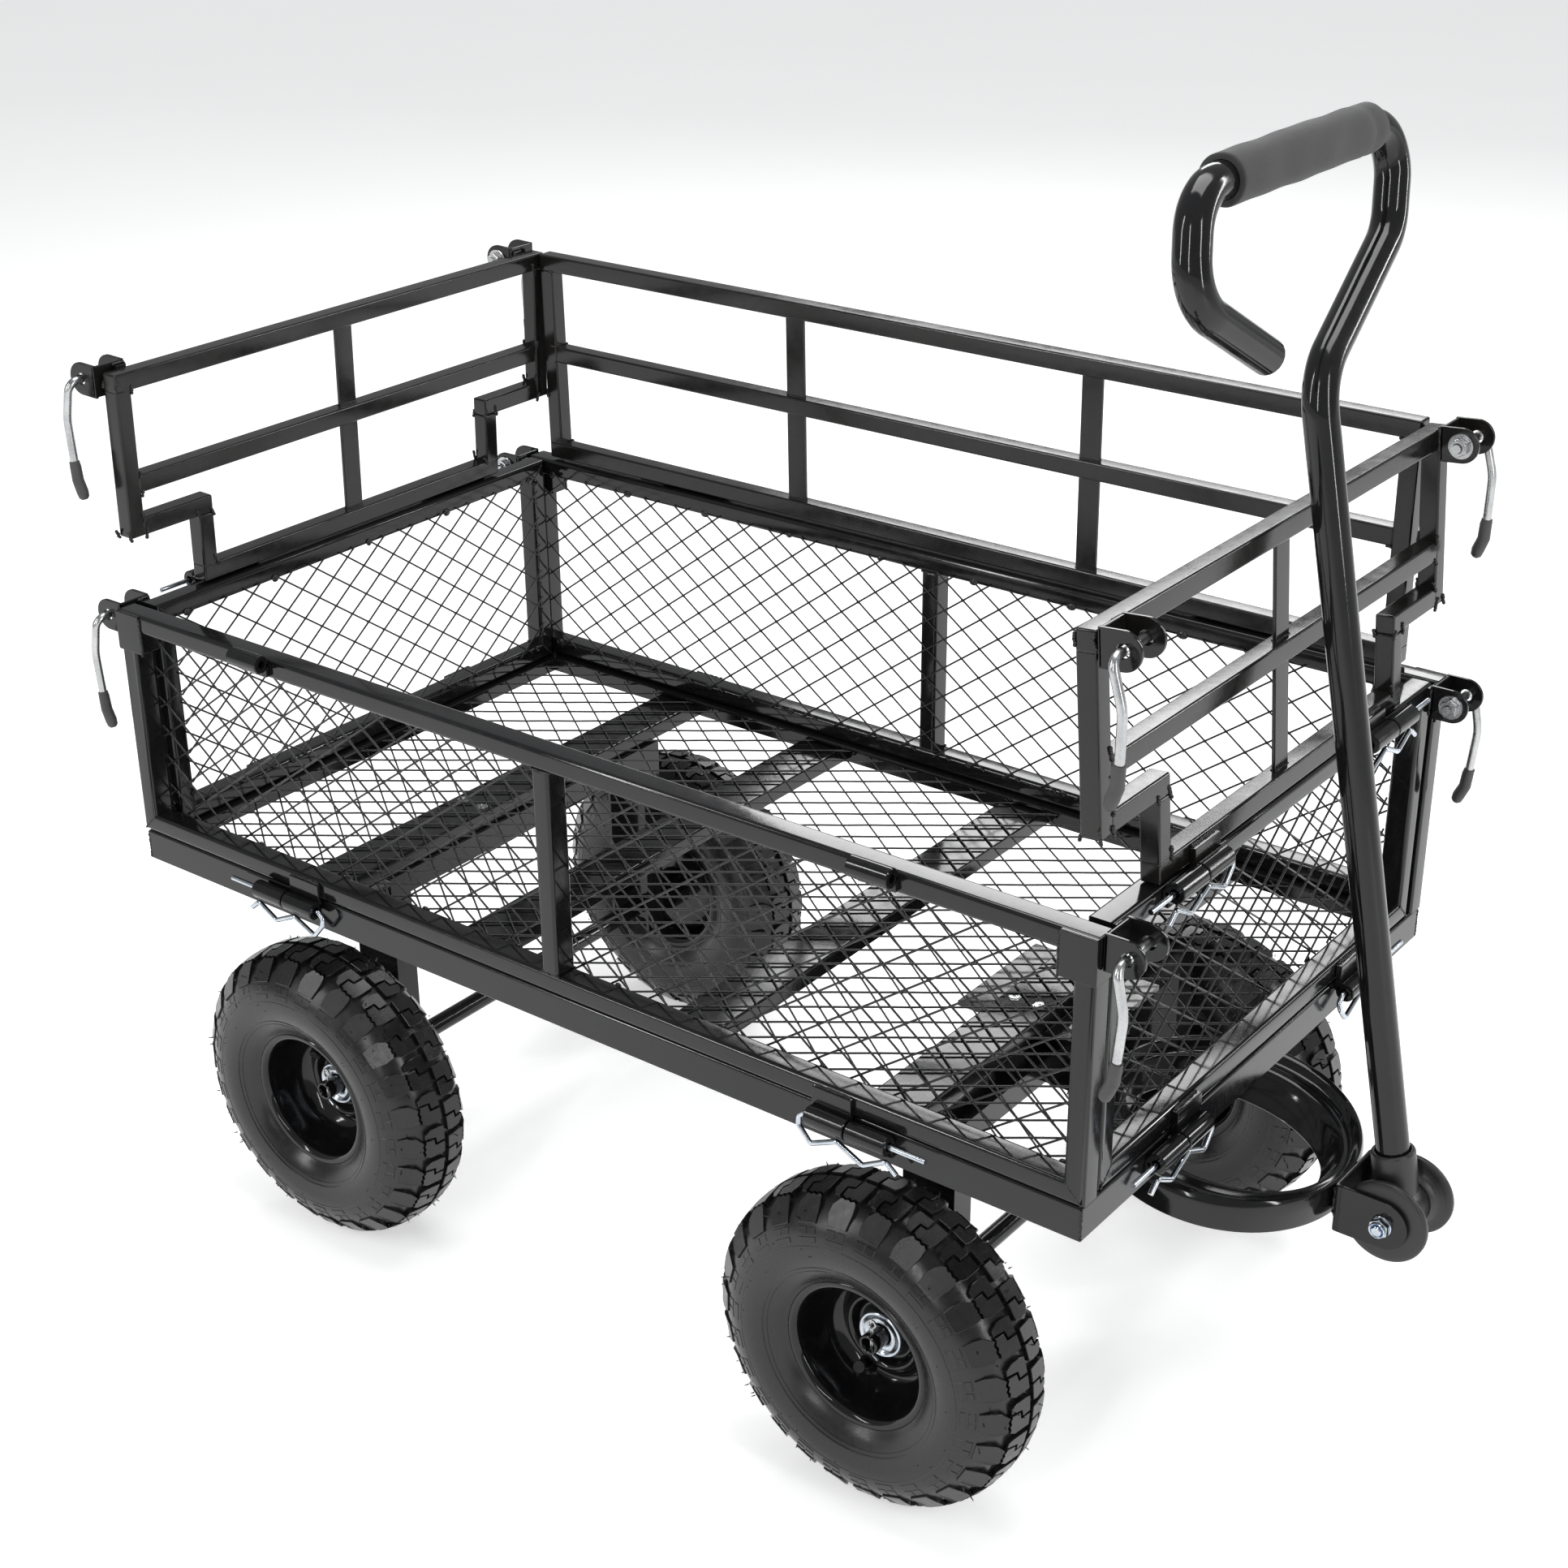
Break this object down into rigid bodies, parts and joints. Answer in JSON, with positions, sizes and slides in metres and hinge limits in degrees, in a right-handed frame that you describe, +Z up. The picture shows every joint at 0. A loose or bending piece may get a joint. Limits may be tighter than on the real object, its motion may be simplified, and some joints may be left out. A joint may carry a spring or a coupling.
{
  "type": "garden cart",
  "caption": "Mesh-bed garden cart with drop-down sides, rack frames, air tyres, a steered front axle and a pull handle parked upright.",
  "frame": {"origin": "on the ground, at the centre of the bounding box seen from above", "axes": "+X towards the pull handle, +Y to the cart's left when pulled, +Z up"},
  "size_m": [1.0894, 0.5496, 0.9665],
  "materials": {
    "black_enamel": "gloss",
    "black_wire": "semi-gloss",
    "bright_zinc": "bright zinc plating",
    "tyre_rubber": "matt",
    "grip_foam": "matt foam",
    "black_plastic": "matt"
  },
  "bodies": {
    "cart": {"deck_frame": "black_enamel", "floor_mesh": "black_wire", "near_rear_panel_clip": "bright_zinc", "near_front_panel_clip": "bright_zinc", "far_rear_panel_clip": "bright_zinc", "far_front_panel_clip": "bright_zinc", "rear_near_panel_clip": "bright_zinc", "rear_far_panel_clip": "bright_zinc", "front_near_panel_clip": "bright_zinc", "front_far_panel_clip": "bright_zinc", "rear_axle_bracket": "black_enamel", "rear_axle": "black_enamel", "turntable_plate": "black_enamel", "kingpin_bolt": "bright_zinc", "kingpin_nut": "bright_zinc"},
    "steering": {"front_axle_bracket": "black_enamel", "front_axle": "black_enamel", "draw_ring": "black_enamel", "yoke_bolt": "bright_zinc", "yoke_nut": "bright_zinc"},
    "handle": {"handle_tube": "black_enamel", "foam_grip": "grip_foam", "handle_socket": "black_plastic"},
    "near_panel": {"near_panel_frame": "black_enamel", "near_panel_mesh": "black_wire"},
    "far_panel": {"far_panel_frame": "black_enamel", "far_panel_mesh": "black_wire", "far_rear_rack_clip": "bright_zinc", "far_front_rack_clip": "bright_zinc"},
    "rear_panel": {"rear_panel_frame": "black_enamel", "rear_panel_mesh": "black_wire", "rear_near_rack_clip": "bright_zinc", "rear_far_rack_clip": "bright_zinc"},
    "front_panel": {"front_panel_frame": "black_enamel", "front_panel_mesh": "black_wire", "front_near_rack_clip": "bright_zinc", "front_far_rack_clip": "bright_zinc"},
    "far_rack": {"far_rack_frame": "black_enamel"},
    "rear_rack": {"rear_rack_frame": "black_enamel"},
    "front_rack": {"front_rack_frame": "black_enamel"},
    "front_near_wheel": {"front_near_wheel_tyre": "tyre_rubber", "front_near_wheel_rim": "black_enamel", "front_near_wheel_hub_cap": "bright_zinc"},
    "front_near_low_latch": {"front_near_low_lever": "bright_zinc"},
    "front_near_high_latch": {"front_near_high_lever": "bright_zinc"},
    "front_far_wheel": {"front_far_wheel_tyre": "tyre_rubber", "front_far_wheel_rim": "black_enamel", "front_far_wheel_hub_cap": "bright_zinc"},
    "front_far_low_latch": {"front_far_low_lever": "bright_zinc"},
    "front_far_high_latch": {"front_far_high_lever": "bright_zinc"},
    "rear_near_wheel": {"rear_near_wheel_tyre": "tyre_rubber", "rear_near_wheel_rim": "black_enamel", "rear_near_wheel_hub_cap": "bright_zinc"},
    "rear_near_low_latch": {"rear_near_low_lever": "bright_zinc"},
    "rear_near_high_latch": {"rear_near_high_lever": "bright_zinc"},
    "rear_far_wheel": {"rear_far_wheel_tyre": "tyre_rubber", "rear_far_wheel_rim": "black_enamel", "rear_far_wheel_hub_cap": "bright_zinc"},
    "rear_far_low_latch": {"rear_far_low_lever": "bright_zinc"},
    "rear_far_high_latch": {"rear_far_high_lever": "bright_zinc"}
  },
  "joints": [
    {"name": "steer", "type": "hinge", "parent": "cart", "child": "steering", "pos_m": [0.22925, 0, 0.282], "axis": [0, 0, 1], "range_deg": [-22, 22]},
    {"name": "handle_swing", "type": "hinge", "parent": "steering", "child": "handle", "pos_m": [0.51325, 0, 0.231], "axis": [0, 1, 0], "range_deg": [0, 112]},
    {"name": "front_near_wheel_spin", "type": "hinge", "parent": "steering", "child": "front_near_wheel", "pos_m": [0.22925, -0.2318, 0.13], "axis": [0, 1, 0], "continuous": true},
    {"name": "front_far_wheel_spin", "type": "hinge", "parent": "steering", "child": "front_far_wheel", "pos_m": [0.22925, 0.2318, 0.13], "axis": [0, 1, 0], "continuous": true},
    {"name": "rear_near_wheel_spin", "type": "hinge", "parent": "cart", "child": "rear_near_wheel", "pos_m": [-0.33175, -0.2318, 0.13], "axis": [0, 1, 0], "continuous": true},
    {"name": "rear_far_wheel_spin", "type": "hinge", "parent": "cart", "child": "rear_far_wheel", "pos_m": [-0.33175, 0.2318, 0.13], "axis": [0, 1, 0], "continuous": true},
    {"name": "near_panel_drop", "type": "hinge", "parent": "cart", "child": "near_panel", "pos_m": [-0.05475, -0.263, 0.3195], "axis": [1, 0, 0], "range_deg": [0, 100]},
    {"name": "far_panel_drop", "type": "hinge", "parent": "cart", "child": "far_panel", "pos_m": [-0.05475, 0.263, 0.3195], "axis": [-1, 0, 0], "range_deg": [0, 100]},
    {"name": "rear_panel_drop", "type": "hinge", "parent": "cart", "child": "rear_panel", "pos_m": [-0.52075, 0, 0.3195], "axis": [0, -1, 0], "range_deg": [0, 100]},
    {"name": "front_panel_drop", "type": "hinge", "parent": "cart", "child": "front_panel", "pos_m": [0.41125, 0, 0.3195], "axis": [0, 1, 0], "range_deg": [0, 1.9]},
    {"name": "far_rack_drop", "type": "hinge", "parent": "far_panel", "child": "far_rack", "pos_m": [-0.05475, 0.263, 0.523], "axis": [-1, 0, 0], "range_deg": [0, 100]},
    {"name": "rear_rack_drop", "type": "hinge", "parent": "rear_panel", "child": "rear_rack", "pos_m": [-0.52075, 0, 0.523], "axis": [0, -1, 0], "range_deg": [0, 100]},
    {"name": "front_rack_drop", "type": "hinge", "parent": "front_panel", "child": "front_rack", "pos_m": [0.41125, 0, 0.523], "axis": [0, 1, 0], "range_deg": [0, 4]},
    {"name": "front_near_low_latch_turn", "type": "hinge", "parent": "front_panel", "child": "front_near_low_latch", "pos_m": [0.42225, 0, 0.514], "axis": [0, -1, 0], "range_deg": [0, 110]},
    {"name": "front_near_high_latch_turn", "type": "hinge", "parent": "front_rack", "child": "front_near_high_latch", "pos_m": [0.40737, 0, 0.71248], "axis": [0, -1, 0], "range_deg": [0, 110]},
    {"name": "front_far_low_latch_turn", "type": "hinge", "parent": "front_panel", "child": "front_far_low_latch", "pos_m": [0.42225, 0, 0.514], "axis": [0, -1, 0], "range_deg": [0, 110]},
    {"name": "front_far_high_latch_turn", "type": "hinge", "parent": "front_rack", "child": "front_far_high_latch", "pos_m": [0.40737, 0, 0.71248], "axis": [0, -1, 0], "range_deg": [0, 110]},
    {"name": "rear_near_low_latch_turn", "type": "hinge", "parent": "rear_panel", "child": "rear_near_low_latch", "pos_m": [-0.53175, 0, 0.514], "axis": [0, 1, 0], "range_deg": [0, 110]},
    {"name": "rear_near_high_latch_turn", "type": "hinge", "parent": "rear_rack", "child": "rear_near_high_latch", "pos_m": [-0.52679, 0, 0.71242], "axis": [0, 1, 0], "range_deg": [0, 110]},
    {"name": "rear_far_low_latch_turn", "type": "hinge", "parent": "rear_panel", "child": "rear_far_low_latch", "pos_m": [-0.53175, 0, 0.514], "axis": [0, 1, 0], "range_deg": [0, 110]},
    {"name": "rear_far_high_latch_turn", "type": "hinge", "parent": "rear_rack", "child": "rear_far_high_latch", "pos_m": [-0.52679, 0, 0.71242], "axis": [0, 1, 0], "range_deg": [0, 110]}
  ]
}
